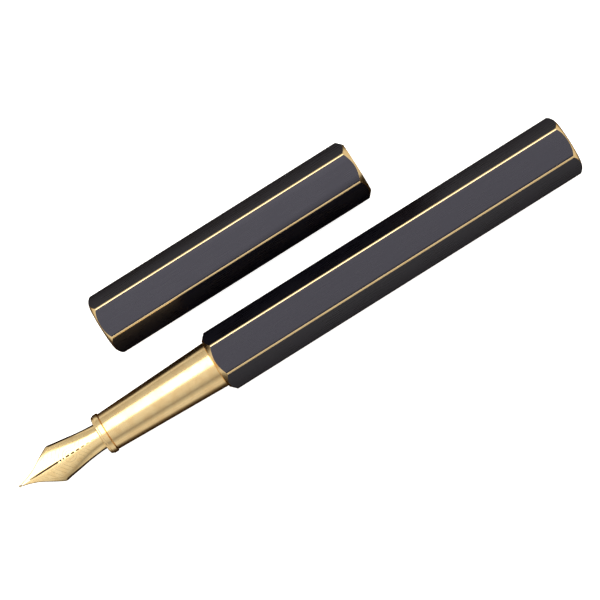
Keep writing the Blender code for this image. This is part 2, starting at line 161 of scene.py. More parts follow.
lacquerLooks = {
    "colour": colour(0.0010, 0.0010, 0.0020),
    "haze": colour(0.0028, 0.0026, 0.0050),      # where the film has rubbed dull
    "brass": colour(0.64, 0.52, 0.29),
    "roughness": 0.28,
    "bareRadius": 6.248,                         # past this distance from the axis the edges are bare
    "sheen": 0.45,
    "tint": colour(0.82, 0.80, 1.0),             # colour of the film's gloss
    "thinning": (0.12, 8.0),                     # width of the thin film beside the bare edges, and its depth
    "bareStep": 2.0,                             # how far the film stands over the brass
    "bump": (0.25, 0.012),                       # strength and depth
}


def lacquerFinish(name, start):
    looks = lacquerLooks
    material, finish = newFinish(name, {"Specular IOR Level": looks["sheen"], "Specular Tint": looks["tint"]})
    place = finish.place(start)
    _, y, z = finish.parts(place)
    radius = (y * y + z * z).combine("SQRT")
    edge = looks["bareRadius"]
    thinWidth, thinDepth = looks["thinning"]
    grain = finish.noise(place, 9.0, 4.0)                                            # satin tooth of the film
    streaks = finish.noise(finish.place(start, (0.22, 5.0, 5.0)), 1.0, 5.0, 0.65)    # rubbed along the pen
    cloud = finish.noise(place, 0.16, 3.0)
    nibble = finish.noise(finish.place(start, (1.3, 4.0, 4.0)), 1.0, 3.0)            # the film's uneven border
    bare = (radius + (nibble - 0.5) * 0.03).fade(edge, edge + 0.014)
    thin = radius.fade(edge - thinWidth, edge)
    film = finish.mix(cloud.fade(0.35, 0.75) * 0.7 + streaks * 0.3, looks["colour"], looks["haze"])
    finish.feed("Base Color", finish.mix(bare, film, looks["brass"]))
    finish.feed("Metallic", bare)
    rough = looks["roughness"] + (streaks - 0.5) * 0.12 + (cloud - 0.5) * 0.1
    finish.feed("Roughness", rough - bare * 0.12)
    height = grain * 0.5 + streaks * 0.5 + (1.0 - bare) * looks["bareStep"] - thin * thinDepth
    finish.feed("Normal", finish.bump(height, *looks["bump"]))
    return material


brassLooks = {
    "light": colour(0.92, 0.70, 0.38),
    "deep": colour(0.85, 0.61, 0.31),
    "stain": colour(0.52, 0.34, 0.15),
    "edge": colour(1.0, 0.72, 0.40),             # warmer where it is seen at a slant
    "roughness": 0.20,
    "bump": (0.35, 0.006),
}


def brassFinish(name, start):
    looks = brassLooks
    material, finish = newFinish(name, {"Metallic": 1.0, "Specular Tint": looks["edge"]})
    place = finish.place(start)
    x, y, z = finish.parts(place)
    radius = (y * y + z * z).combine("SQRT")
    turning = finish.noise(finish.vector(x * 14.0, radius * 14.0, 0.0), 1.0, 4.0, 0.7)   # tool marks
    cloud = finish.noise(place, 0.45, 4.0)
    specks = finish.noise(place, 7.0, 2.0).fade(0.66, 0.78)
    tone = finish.mix(cloud.fade(0.35, 0.7), looks["light"], looks["deep"])
    finish.feed("Base Color", finish.mix(specks * 0.35 + turning * 0.1, tone, looks["stain"]))
    finish.feed("Roughness", looks["roughness"] + (turning - 0.5) * 0.22 + (cloud - 0.5) * 0.14)
    finish.feed("Normal", finish.bump(turning, *looks["bump"]))
    return material


goldLooks = {
    "light": colour(0.96, 0.74, 0.40),
    "deep": colour(0.90, 0.66, 0.33),
    "line": colour(0.42, 0.27, 0.11),
    # painted shade for the nib's rim and slit, also the colour of the engraved dashes
    "rim": colour(0.045, 0.022, 0.008),
    "roughness": 0.17,
    "bump": (0.4, 0.02),
    "lineWidth": 0.06,
    # what follows is in millimetres, and places along the nib count from the front of the grip section
    "medallion": 6.8,                            # centre of the engraved rings
    "medallionRadius": 1.85,
    "ringPitch": 0.55,
    "rulePitch": 0.9,                            # slanting rules
    "ruleSlant": 0.8,
    "tineRules": ((6.5, 7.5), (12.8, 13.6)),     # where they begin and end
    "rearRules": ((2.4, 2.8), (5.8, 6.6)),
    "borderRule": 0.76,                          # 0 at the slit, 1 at the nib's border
    "dashPitch": 1.15,
    "breather": 8.8,
    "shoulder": 9.8,
    "flank": (2.66, 0.125),                      # half width at the grip section, and what each millimetre adds
    "point": (18.3, 0.46),                       # where the tines would meet, and how fast they widen
    # painted shade: where the dark rim fades out, in millimetres in from the border
    "rimWidth": (0.36, 0.52),
}


def goldFinish(name, start):
    looks = goldLooks
    material, finish = newFinish(name, {"Metallic": 1.0})
    place = finish.place(start)
    x, y, _ = finish.parts(place)
    v = finish.parts(finish.node("ShaderNodeTexCoord", {}, {}, "UV"))[1]      # runs across the nib
    side = y.combine("ABSOLUTE")
    across = (v * 2 - 1.0).combine("ABSOLUTE")                                # 0 at the slit, 1 at the border
    reach = 0.0 - x - sectionReach                                            # distance ahead of the section
    cloud = finish.noise(place, 0.8, 3.0)
    polish = finish.noise(finish.place(start, (3.0, 14.0, 14.0)), 1.0, 4.0, 0.7)

    def rules(value, pitch):                     # parallel lines
        share = (value / pitch).combine("FRACT") - 0.5
        width = looks["lineWidth"] / pitch / 2
        return 1.0 - share.combine("ABSOLUTE").fade(width, width * 2.2)

    def between(begins, ends):                   # fades in and out along the nib
        return reach.fade(*begins) * (1.0 - reach.fade(*ends))

    # engraving: rings in a medallion, slanting rules on the tines and behind the medallion, a border rule
    centre = reach - looks["medallion"]
    ring = (centre * centre + y * y).combine("SQRT")
    ringEnd = looks["medallionRadius"]
    rings = rules(ring, looks["ringPitch"]) * (1.0 - ring.fade(ringEnd - 0.1, ringEnd))
    slanting = rules(reach + side * looks["ruleSlant"], looks["rulePitch"])
    slanting = slanting * (between(*looks["tineRules"]) + between(*looks["rearRules"]))
    field = side.fade(0.5, 0.6) * (1.0 - across.fade(0.66, 0.72)) * ring.fade(ringEnd, ringEnd + 0.1)
    border = across.band(looks["borderRule"], 0.010, 0.012) * reach.fade(1.5, 2.0)
    engraved = (rings + slanting * field + border).combine("MINIMUM", 1.0)

    # the centre rule is broken into dashes that fade towards the grip section, and ahead of them the slit is
    # painted dark: painted shade where the black feed shows through
    breather = looks["breather"]
    dashes = (reach / looks["dashPitch"] + 0.2).combine("FRACT").band(0.5, 0.28, 0.06)
    dashes = dashes * side.band(0.0, 0.12, 0.06) * between((-2.0, 6.0), (breather - 0.5, breather - 0.35))
    # painted shade along the slit, weaker towards the point
    slitShade = side.band(0.0, 0.14, 0.10) * reach.fade(breather + 0.45, breather + 0.75)
    slitShade = slitShade * (1.0 - reach.fade(13.5, 17.0) * 0.75)

    # painted shade: a dark rim is painted along the flanks, thinner along the tines, standing in for the dark
    # reflections at the nib's edges
    (flankWidth, flankSlope), (pointReach, pointSlope) = looks["flank"], looks["point"]
    halfWidth = (reach * flankSlope + flankWidth).combine("MINIMUM", (pointReach - reach) * pointSlope)
    inset = (1.0 - across) * halfWidth.combine("MAXIMUM", 0.2)
    tines = reach.fade(looks["shoulder"] - 0.3, looks["shoulder"] + 0.3)
    rim = (1.0 - (inset + tines * 0.20).fade(*looks["rimWidth"])) * (1.0 - tines * 0.32)

    tone = finish.mix(cloud.fade(0.35, 0.7), looks["light"], looks["deep"])
    tone = finish.mix(engraved * 0.50, tone, looks["line"])
    # the dashes are engraved; the rim and the slit are painted shade
    tone = finish.mix((dashes + slitShade + rim).combine("MINIMUM", 1.0), tone, looks["rim"])
    finish.feed("Base Color", tone)
    finish.feed("Roughness", looks["roughness"] + (polish - 0.5) * 0.16 + engraved * 0.12)
    finish.feed("Normal", finish.bump(polish * 0.08 - engraved * 0.5 - dashes, *looks["bump"]))
    return material


mouldedLooks = {
    # base and pale colour, roughness, scale and depth of the grain
    "blackPlastic": (colour(0.012, 0.012, 0.014), colour(0.022, 0.022, 0.025), 0.32, 6.0, 0.01),
    "greyPlastic": (colour(0.05, 0.05, 0.055), colour(0.075, 0.075, 0.08), 0.5, 5.0, 0.014),
    "rubber": (colour(0.015, 0.015, 0.015), colour(0.03, 0.03, 0.03), 0.68, 9.0, 0.02),
}


def mouldedFinish(name, start):
    base, pale, roughness, grainScale, depth = mouldedLooks[name]
    material, finish = newFinish(name, {})
    grain = finish.noise(finish.place(start), grainScale, 4.0, 0.6)
    flow = finish.noise(finish.place(start, (0.35, 1.6, 1.6)), 1.0, 3.0)        # flow marks along the mould
    finish.feed("Base Color", finish.mix(flow.fade(0.3, 0.75) * 0.7 + grain * 0.3, base, pale))
    finish.feed("Roughness", roughness + (grain - 0.5) * 0.16 + (flow - 0.5) * 0.1)
    finish.feed("Normal", finish.bump(grain, 0.35, depth))
    return material


metalLooks = {
    # light and deep colour, roughness, metallic
    "hardTip": (colour(0.95, 0.82, 0.58), colour(0.86, 0.72, 0.48), 0.5, 0.5),
    "chrome": (colour(0.82, 0.82, 0.84), colour(0.7, 0.7, 0.73), 0.1, 1.0),
    "springSteel": (colour(0.62, 0.62, 0.63), colour(0.48, 0.48, 0.5), 0.26, 1.0),
}


def metalFinish(name, start):
    light, deep, roughness, metallic = metalLooks[name]
    material, finish = newFinish(name, {"Metallic": metallic})
    place = finish.place(start)
    x, y, z = finish.parts(place)
    radius = (y * y + z * z).combine("SQRT")
    brushed = finish.noise(finish.vector(x * 12.0, radius * 12.0, 0.0), 1.0, 4.0, 0.7)
    cloud = finish.noise(place, 0.6, 3.0)
    finish.feed("Base Color", finish.mix(cloud.fade(0.3, 0.7), light, deep))
    finish.feed("Roughness", roughness + (brushed - 0.5) * 0.12 + (cloud - 0.5) * 0.08)
    finish.feed("Normal", finish.bump(brushed, 0.25, 0.004))
    return material


clearLooks = {
    "light": colour(0.80, 0.86, 0.90),
    "deep": colour(0.70, 0.77, 0.82),
    "roughness": 0.04,
    "scuffed": 0.12,                             # what the scuffs add to the roughness
}


def clearFinish(name, start):
    looks = clearLooks
    material, finish = newFinish(name, {"Transmission Weight": 1.0, "IOR": 1.49})
    scuffs = finish.noise(finish.place(start, (1.5, 12.0, 12.0)), 1.0, 4.0, 0.7)
    cloud = finish.noise(finish.place(start), 0.5, 2.0)
    finish.feed("Base Color", finish.mix(cloud, looks["light"], looks["deep"]))
    finish.feed("Roughness", looks["roughness"] + scuffs.fade(0.55, 0.8) * looks["scuffed"])
    finish.feed("Normal", finish.bump(scuffs, 0.15, 0.004))
    return material


lacquerPen = lacquerFinish("lacquerPen", penStart)
lacquerCap = lacquerFinish("lacquerCap", capStart)
brassPen = brassFinish("brassPen", penStart)
brassCap = brassFinish("brassCap", capStart)
gold = goldFinish("gold", penStart)
hardTip = metalFinish("hardTip", penStart)
chrome = metalFinish("chrome", penStart)
springSteel = metalFinish("springSteel", capStart)
blackPlastic = mouldedFinish("blackPlastic", penStart)
greyPlastic = mouldedFinish("greyPlastic", capStart)
rubber = mouldedFinish("rubber", penStart)
clearPlastic = clearFinish("clearPlastic", penStart)
print("materials made:", len(bpy.data.materials))


# modelling helpers
def clearSelection():
    if bpy.context.object and bpy.context.object.mode != "OBJECT":
        bpy.ops.object.mode_set(mode="OBJECT")
    bpy.ops.object.select_all(action="DESELECT")


def pick(piece):
    clearSelection()
    piece.select_set(True)
    bpy.context.view_layer.objects.active = piece


def applyPlace(piece):                            # the object ends at the origin, its place in its mesh
    pick(piece)
    bpy.ops.object.transform_apply(location=True, rotation=True, scale=True)


def turned(name, start, outline, steps):
    # one point is extruded along the outline of (along, radius) and spun about the axis through start
    points = [start + Vector((along, 0.0, radius)) * mm for along, radius in outline]
    clearSelection()
    bpy.ops.mesh.primitive_plane_add(size=mm, location=points[0])
    piece = bpy.context.object
    piece.name = name
    bpy.ops.object.mode_set(mode="EDIT")
    bpy.ops.mesh.merge(type="CENTER")
    for here, there in zip(points, points[1:]):
        bpy.ops.mesh.extrude_region_move(TRANSFORM_OT_translate={"value": there - here})
    bpy.ops.mesh.select_all(action="SELECT")
    bpy.ops.mesh.spin(steps=steps, angle=fullTurn, center=start, axis=(1, 0, 0))
    bpy.ops.mesh.select_all(action="SELECT")
    bpy.ops.mesh.remove_doubles(threshold=2e-6)
    bpy.ops.mesh.normals_make_consistent(inside=False)
    bpy.ops.object.mode_set(mode="OBJECT")
    applyPlace(piece)
    return piece


def arcPoints(along, radius, size, first, last, steps):
    for step in range(steps + 1):
        angle = math.radians(first + (last - first) * step / steps)
        yield (along + size * math.cos(angle), radius + size * math.sin(angle))


def steppedLine(first, last, radius, pitch):      # closely spaced points, for a thread to be pressed into
    count = max(2, round(abs(last - first) / pitch))
    return [(first + (last - first) * i / count, radius) for i in range(count + 1)]


def pressThread(piece, start, along, radii, pitch, depth):
    # a helical thread pressed into the points that lie on a cylinder, fading at both ends
    first, last = along
    for vert in piece.data.vertices:
        place = (vert.co - start) / mm
        radius = math.hypot(place.y, place.z)
        if not (first <= place.x <= last and radii[0] <= radius <= radii[1]):
            continue
        phase = place.x / pitch - math.atan2(place.z, place.y) / fullTurn
        wave = abs((phase % 1.0) * 2 - 1) - 0.5
        fade = min(1.0, (place.x - first) / (pitch * 0.6), (last - place.x) / (pitch * 0.6))
        grown = (radius + depth * wave * fade) / radius
        vert.co = start + Vector((place.x, place.y * grown, place.z * grown)) * mm


def pressFlutes(piece, start, along, least, count, depth):      # grooves along a knob
    for vert in piece.data.vertices:
        place = (vert.co - start) / mm
        radius = math.hypot(place.y, place.z)
        if along[0] < place.x < along[1] and radius > least:
            wave = math.cos(count * math.atan2(place.z, place.y))
            grown = (radius - depth * max(0.0, wave) ** 0.6) / radius
            vert.co = start + Vector((place.x, place.y * grown, place.z * grown)) * mm


def useModifier(piece, kind, settings):
    pick(piece)
    modifier = piece.modifiers.new(kind.lower(), kind)
    for key, value in settings.items():
        setattr(modifier, key, value)
    bpy.ops.object.modifier_apply(modifier=modifier.name)


def boolean(piece, cutter, operation):
    useModifier(piece, "BOOLEAN", {"operation": operation, "object": cutter, "solver": "EXACT"})
    bpy.data.objects.remove(cutter, do_unlink=True)


def soften(piece, width, angle=30, segments=2):   # a small round along the sharp edges
    useModifier(piece, "BEVEL", {"width": width * mm, "segments": segments, "limit_method": "ANGLE",
                                 "angle_limit": math.radians(angle), "use_clamp_overlap": True})


def settle(piece, body, nodes, materials=(), smooth=35):
    for material in materials:
        piece.data.materials.append(material)
    pick(piece)
    bpy.ops.object.shade_smooth_by_angle(angle=math.radians(smooth))
    piece.visible_glossy = body != "cap"                 # the cap is hidden from reflections, so the pen's brass reflects the card's painted shade in the cap's place
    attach(piece, body)
    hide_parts(*nodes)


# the two hexagonal pieces
hexagonValues = {
    "edgeFlat": 0.35,            # width of the bare strip along each long edge
    "faceRadius": 5.1,           # turned cone at the open end
    "coneSlope": 1.0625,         # radius gained for each millimetre along
    "domeFaceRadius": 4.29,      # rounded closed end
    "domeRadius": 2.33,
    "domeSteps": 20,
    "endSteps": 192,
    "spare": 1.0,                # how far the turned blank stands outside the bar
    "leastFlat": 20.0,           # square millimetres, less than any lacquered flat
}


def hexagonBar(name, start, length, flats, lacquer, brass, openAtFront):
    values = hexagonValues
    corner = flats / math.sqrt(3)
    clearSelection()
    bpy.ops.mesh.primitive_cylinder_add(vertices=6, radius=corner * mm, depth=length * mm,
                                        location=start + Vector((length / 2 * mm, 0, 0)),
                                        rotation=(0, math.pi / 2, 0))
    bar = bpy.context.object
    bar.name = name
    bpy.ops.object.mode_set(mode="EDIT")
    bpy.ops.mesh.select_all(action="DESELECT")
    bpy.ops.mesh.select_mode(type="EDGE")
    mesh = bmesh.from_edit_mesh(bar.data)
    for edge in mesh.edges:
        edge.select = edge.calc_length() > length * mm * 0.9
    bmesh.update_edit_mesh(bar.data)
    bpy.ops.mesh.bevel(offset=values["edgeFlat"] * mm, offset_type="WIDTH", segments=3, profile=0.5,
                       affect="EDGES")
    bpy.ops.mesh.select_mode(type="VERT")
    bpy.ops.object.mode_set(mode="OBJECT")
    applyPlace(bar)
    bar.data.materials.append(lacquer)
    bar.data.materials.append(brass)

    # the bar is turned to a cone at its open end and to a round at its closed end
    wide = corner + values["spare"]
    domeStart = length - values["domeRadius"]
    dome = arcPoints(domeStart, values["domeFaceRadius"], values["domeRadius"], 90, 0, values["domeSteps"])
    cone = (wide - values["faceRadius"]) / values["coneSlope"]
    outline = [(0.0, 0.0), (0.0, values["faceRadius"]), (cone, wide), (domeStart - values["spare"], wide),
               *dome, (length, 0.0)]
    if not openAtFront:
        outline = [(length - along, radius) for along, radius in reversed(outline)]
    boolean(bar, turned(name + "Blank", start, outline, values["endSteps"]), "INTERSECT")
    return bar


def paintHexagon(bar):
    # lacquer stays on the six flats, and everything that a tool has touched is brass
    leastArea = hexagonValues["leastFlat"] * mm * mm
    for polygon in bar.data.polygons:
        angle = math.degrees(math.atan2(polygon.normal.y, polygon.normal.z)) % 60
        onFlat = abs(polygon.normal.x) < 0.01 and min(angle, 60 - angle) < 1.0
        polygon.material_index = 0 if onFlat and polygon.area > leastArea else 1


barrelValues = {
    "sealSeat": (1.0, 4.6),      # depth and radius, as in the next two
    "thread": (9.0, 4.45),
    "bore": (75.0, 4.2),
    "drillPoint": 2.5,
    "threadPitch": 0.75,
    "threadDepth": 0.09,
    "steps": 96,
}


def makeBarrel():
    values = barrelValues
    length = (barrelHigh.x - barrelLow.x) / mm
    flats = (barrelHigh.z - barrelLow.z) / mm
    bar = hexagonBar("barrelBody", penStart, length, flats, lacquerPen, brassPen, True)
    seatDepth, seatRadius = values["sealSeat"]
    threadDepth, threadRadius = values["thread"]
    boreDepth, boreRadius = values["bore"]
    outline = [
        (-1.0, 0.0), (-1.0, seatRadius), (seatDepth, seatRadius),
        *steppedLine(seatDepth, threadDepth, threadRadius, values["threadPitch"] / threadPoints),
        (threadDepth, boreRadius), (boreDepth, boreRadius), (boreDepth + values["drillPoint"], 0.0)]
    bore = turned("barrelBore", penStart, outline, values["steps"])
    pressThread(bore, penStart, (seatDepth + 0.1, threadDepth - 0.3), (threadRadius - 0.1, threadRadius + 0.1),
                values["threadPitch"], values["threadDepth"])
    boolean(bar, bore, "DIFFERENCE")
    paintHexagon(bar)
    settle(bar, "barrel", ["barrel_shell"], smooth=28)


capValues = {
    "boreRadius": 4.85,
    "boreEnd": 4.5,
    "drillPoint": 2.5,
    "steps": 128,
}


def makeCap():
    values = capValues
    length = (capHigh.x - capLow.x) / mm
    flats = (capHigh.z - capLow.z) / mm
    bar = hexagonBar("capBody", capStart, length, flats, lacquerCap, brassCap, False)
    outline = [(values["boreEnd"] - values["drillPoint"], 0.0), (values["boreEnd"], values["boreRadius"]),
               (length + 1.0, values["boreRadius"]), (length + 1.0, 0.0)]
    boolean(bar, turned("capBore", capStart, outline, values["steps"]), "DIFFERENCE")
    paintHexagon(bar)
    settle(bar, "cap", ["cap_shell"], smooth=28)


# the grip section
sectionValues = {
    "shoulderRadius": 4.8,
    "throatRadius": 3.93,
    "tenonRadius": 4.35,
    "tenonLength": 7.6,
    "sealGroove": (0.75, 3.95),  # where it ends, and its radius
    "bore": 3.55,
    "stop": (-11.9, -12.6, 2.0), # rear, front and the radius of its hole
    "housingBore": 3.2,
    "spigotRadius": 3.6,
    "ringLength": 1.6,
    "ringRadius": 4.2,
    "lipRadius": 0.34,
    "lipHollow": 0.16,           # depth of the hollow behind the lip
    "chamfer": 0.12,
    "wire": 0.27,                # radius of the o-ring's wire
    "threadPitch": 0.75,
    "threadDepth": 0.08,
    "touch": 0.1,                # room left where pieces meet
    "steps": 160,
    "sealSteps": 96,
}


def makeSection():
    values = sectionValues
    touch, chamfer = values["touch"], values["chamfer"]
    ringRear = values["ringLength"] - sectionReach
    spigotFront = 2 * touch - sectionReach
    grooveEnd, grooveRadius = values["sealGroove"]
    stopRear, stopFront, stopHole = values["stop"]
    tenon = values["tenonRadius"]
    tenonEnd = values["tenonLength"]
    outline = [
        (spigotFront, values["housingBore"]), (spigotFront, values["spigotRadius"]),
        (ringRear, values["spigotRadius"]), (ringRear, values["throatRadius"] - chamfer),
        (ringRear + chamfer, values["throatRadius"]),
        (-touch - chamfer / 2, values["shoulderRadius"]),
        (-touch * 0.2, values["shoulderRadius"] - chamfer / 2),
        (-touch * 0.2, grooveRadius), (grooveEnd, grooveRadius), (grooveEnd, tenon - 0.1),
        *steppedLine(grooveEnd + 0.1, tenonEnd - 0.3, tenon, values["threadPitch"] / threadPoints),
        (tenonEnd, tenon - 0.3), (tenonEnd, values["bore"]), (stopRear, values["bore"]),
        (stopRear, stopHole), (stopFront, stopHole), (stopFront, values["housingBore"]),
        (spigotFront, values["housingBore"])]
    grip = turned("sectionGrip", penStart, outline, values["steps"])
    pressThread(grip, penStart, (grooveEnd + 0.1, tenonEnd - 0.3), (tenon - 0.1, tenon + 0.1),
                values["threadPitch"], values["threadDepth"])
    settle(grip, "section", ["section_grip"], [brassPen])

    # the ring at the front is a plain band with a small round lip
    inner = values["spigotRadius"] + 0.05
    ringRadius, lipRadius = values["ringRadius"], values["lipRadius"]
    hollowRadius = ringRadius - values["lipHollow"]
    lipRear = lipRadius - sectionReach
    outline = [
        (-sectionReach, inner), *arcPoints(lipRear, hollowRadius - lipRadius, lipRadius, 180, 90, 8),
        (lipRear + 0.12, hollowRadius), (lipRear + 0.20, ringRadius - 0.05), (lipRear + 0.30, ringRadius),
        (ringRear - chamfer * 2, ringRadius), (ringRear - chamfer, ringRadius - chamfer / 4),
        (ringRear - chamfer / 2, ringRadius - chamfer), (ringRear - chamfer / 2, inner), (-sectionReach, inner)]
    ring = turned("sectionRing", penStart, outline, values["steps"])
    settle(ring, "section", ["section_ring"], [brassPen])

    wire = values["wire"]
    seal = list(arcPoints(wire + 0.03, grooveRadius + wire + 0.03, wire, 0, 360, 20))
    oRing = turned("sectionSeal", penStart, seal, values["sealSteps"])
    settle(oRing, "seal_ring", ["section_o_ring"], [rubber])


# the nib, its tip, the feed and the housing
nibValues = {
    "sheet": 0.24,
    "slitWidth": 0.12,
    "tipGap": 0.03,
    "breatherRadius": 0.2,
    "breatherReach": 8.8,
    "tipRadius": 0.33,
    "nibReach": 18.4,
    "round": 0.035,                               # width of the softened edges
    "grid": (190, 40),                            # faces along and across
    # distance ahead of the grip section, half width, radius of the arc across, crown height
    "stations": (
        (-11.0, 2.55, 2.72, 2.72), (0.0, 2.66, 2.80, 2.72), (3.5, 2.93, 3.50, 2.68),
        (6.5, 3.38, 4.90, 2.54), (9.0, 3.76, 6.30, 2.36), (9.6, 3.87, 6.60, 2.31), (9.85, 3.89, 6.70, 2.29),
        (10.15, 3.80, 6.80, 2.27), (10.8, 3.48, 6.90, 2.21), (12.4, 2.56, 6.80, 2.05), (14.3, 1.47, 6.00, 1.82),
        (16.2, 0.70, 4.60, 1.55), (17.7, 0.30, 3.20, 1.32)),
}


def nibForm(reach):                               # half width, arc radius and crown height, smooth along
    stations = nibValues["stations"]
    spans = list(zip(stations, stations[1:]))
    index = next((i for i, (_, b) in enumerate(spans) if reach <= b[0]), len(spans) - 1)
    before = stations[max(index - 1, 0)]
    first, second = spans[index]
    after = stations[min(index + 2, len(stations) - 1)]
    length = second[0] - first[0]
    part = (reach - first[0]) / length
    blend = 3 * part**2 - 2 * part**3
    form = []
    for k in (1, 2, 3):
        slopeIn = (second[k] - before[k]) / (second[0] - before[0]) * length
        slopeOut = (after[k] - first[k]) / (after[0] - first[0]) * length
        form.append(first[k] * (1 - blend) + second[k] * blend
                    + slopeIn * (part**3 - 2 * part**2 + part) + slopeOut * (part**3 - part**2))
    return form


def nibPoint(reach, across, depth):
    halfWidth, radius, crown = nibForm(reach)
    angle = math.asin(min(halfWidth / radius, 0.999)) * across
    return penStart + Vector((-(sectionReach + reach), (radius - depth) * math.sin(angle),
                              crown - radius + (radius - depth) * math.cos(angle))) * mm


def sheetOver(name, firstReach, lastReach, lengthwise, crosswise, depth):
    # a grid laid over the nib's form at a depth under its upper face
    clearSelection()
    bpy.ops.mesh.primitive_grid_add(x_subdivisions=lengthwise, y_subdivisions=crosswise, size=2)
    grid = bpy.context.object
    grid.name = name
    for vert in grid.data.vertices:
        share = (1 - vert.co.x) / 2
        vert.co = nibPoint(firstReach + (lastReach - firstReach) * share, vert.co.y, depth)
    return grid


def makeNib():
    values = nibValues
    first, last = values["stations"][0][0], values["stations"][-1][0]
    nib = sheetOver("nibBlade", first, last, *values["grid"], 0.0)
    useModifier(nib, "SOLIDIFY", {"thickness": values["sheet"] * mm, "offset": -1, "use_even_offset": True})
    slitRear = sectionReach + values["breatherReach"]
    slitLength = last - values["breatherReach"] + 1.0
    slitMiddle = penStart + Vector((-slitRear - slitLength / 2, 0, 1.5)) * mm
    clearSelection()
    bpy.ops.mesh.primitive_cube_add(size=1, location=slitMiddle,
                                    scale=(slitLength * mm, values["slitWidth"] * mm, 5 * mm))
    boolean(nib, bpy.context.object, "DIFFERENCE")
    clearSelection()
    bpy.ops.mesh.primitive_cylinder_add(vertices=48, radius=values["breatherRadius"] * mm, depth=4 * mm,
                                        location=penStart + Vector((-slitRear, 0, 2.0)) * mm)
    boolean(nib, bpy.context.object, "DIFFERENCE")
    soften(nib, values["round"], 50)
    settle(nib, "nib_unit", ["nib"], [gold], 40)


def makeTipping():
    values = nibValues
    tipRadius = values["tipRadius"]
    crown = values["stations"][-1][3] - values["sheet"]
    centre = penStart + Vector((tipRadius - sectionReach - values["nibReach"], 0.0, crown)) * mm
    for name, node, side in (("tipLeft", "tipping_left", 1), ("tipRight", "tipping_right", -1)):
        clearSelection()
        bpy.ops.mesh.primitive_uv_sphere_add(segments=48, ring_count=24, radius=tipRadius * mm,
                                             location=centre, rotation=(0, math.pi / 2, 0))
        tip = bpy.context.object
        tip.name = name
        bpy.ops.object.mode_set(mode="EDIT")
        bpy.ops.mesh.select_all(action="SELECT")
        bpy.ops.mesh.bisect(plane_co=centre + Vector((0, side * values["tipGap"] / 2 * mm, 0)),
                            plane_no=(0, side, 0), use_fill=True, clear_inner=True)
        bpy.ops.object.mode_set(mode="OBJECT")
        applyPlace(tip)
        settle(tip, "nib_unit", [node], [hardTip], 40)


feedValues = {
    "rear": -14.4,
    "radius": 2.78,
    "finRoot": 2.15,
    "firstFin": -26.7,
    "finCount": 11,
    "finPitch": 0.66,
    "tip": -41.8,
    "lift": 1.0,                  # how far the beak rises towards the tip
    "beakSteps": 24,
    "beakTaper": 0.35,
    "channel": (40.0, 0.3, 1.6),  # length, width and height of the ink channel
    "channelMiddle": (-30.0, 2.6),
    "gap": 0.04,                  # between the feed and the nib
    "space": (7.0, 4.0),          # depth of the space under the nib, and how far below the axis it ends
    "grid": (80, 24),
    "steps": 72,
}


def makeFeed():
    values = feedValues
    radius, root, pitch = values["radius"], values["finRoot"], values["finPitch"]
    outline = [(values["rear"], 0.0), (values["rear"], radius), (values["firstFin"] + pitch * 0.5, radius)]
    for fin in range(values["finCount"]):
        rear = values["firstFin"] - fin * pitch
        outline += [(rear + pitch * 0.48, root), (rear + pitch * 0.02, root), (rear, radius - 0.04),
                    (rear - 0.04, radius), (rear - pitch * 0.45, radius), (rear - pitch * 0.5, radius - 0.04)]
    beakRear = outline[-1][0]
    for step in range(1, values["beakSteps"]):
        share = step / values["beakSteps"]
        outline.append((beakRear + (values["tip"] - beakRear) * share,
                        radius * math.sqrt(1 - share) * (1 - values["beakTaper"] * share)))
    outline.append((values["tip"], 0.0))
    feed = turned("feedComb", penStart, outline, values["steps"])
    for vert in feed.data.vertices:
        share = ((vert.co.x - penStart.x) / mm - beakRear) / (values["tip"] - beakRear)
        share = min(max(share, 0.0), 1.0)
        vert.co.z += values["lift"] * mm * share * share * (3 - 2 * share)

    # the space under the nib's lower face: the feed keeps what lies in it
    first, last = nibValues["stations"][0][0], nibValues["stations"][-1][0]
    spaceDepth, spaceFloor = values["space"]
    under = sheetOver("feedSpace", first, last, *values["grid"], nibValues["sheet"] + values["gap"])
    pick(under)
    bpy.ops.object.mode_set(mode="EDIT")
    bpy.ops.mesh.select_all(action="SELECT")
    bpy.ops.mesh.extrude_region_move(TRANSFORM_OT_translate={"value": (0, 0, -spaceDepth * mm)})
    bpy.ops.mesh.select_all(action="SELECT")
    bpy.ops.mesh.normals_make_consistent(inside=False)
    bpy.ops.object.mode_set(mode="OBJECT")
    for vert in under.data.vertices:
        vert.co.z = max(vert.co.z, penStart.z - spaceFloor * mm)
    boolean(feed, under, "INTERSECT")

    along, up = values["channelMiddle"]
    clearSelection()
    bpy.ops.mesh.primitive_cube_add(size=1, location=penStart + Vector((along, 0, up)) * mm,
                                    scale=tuple(size * mm for size in values["channel"]))
    boolean(feed, bpy.context.object, "DIFFERENCE")
    settle(feed, "nib_unit", ["feed"], [blackPlastic], 35)


housingValues = {
    "front": 0.3,                 # how far it sits back from the section's front
    "rear": -12.7,
    "radius": 3.15,
    "inner": 2.85,
    "floor": -14.2,
    "nippleRadius": 1.35,
    "nippleHole": 0.6,
    "nippleEnd": -7.0,
    "threadPitch": 0.5,
    "threadDepth": 0.07,
    "threadFront": 4.2,           # where it begins, behind the housing's front
    "steps": 96,
}


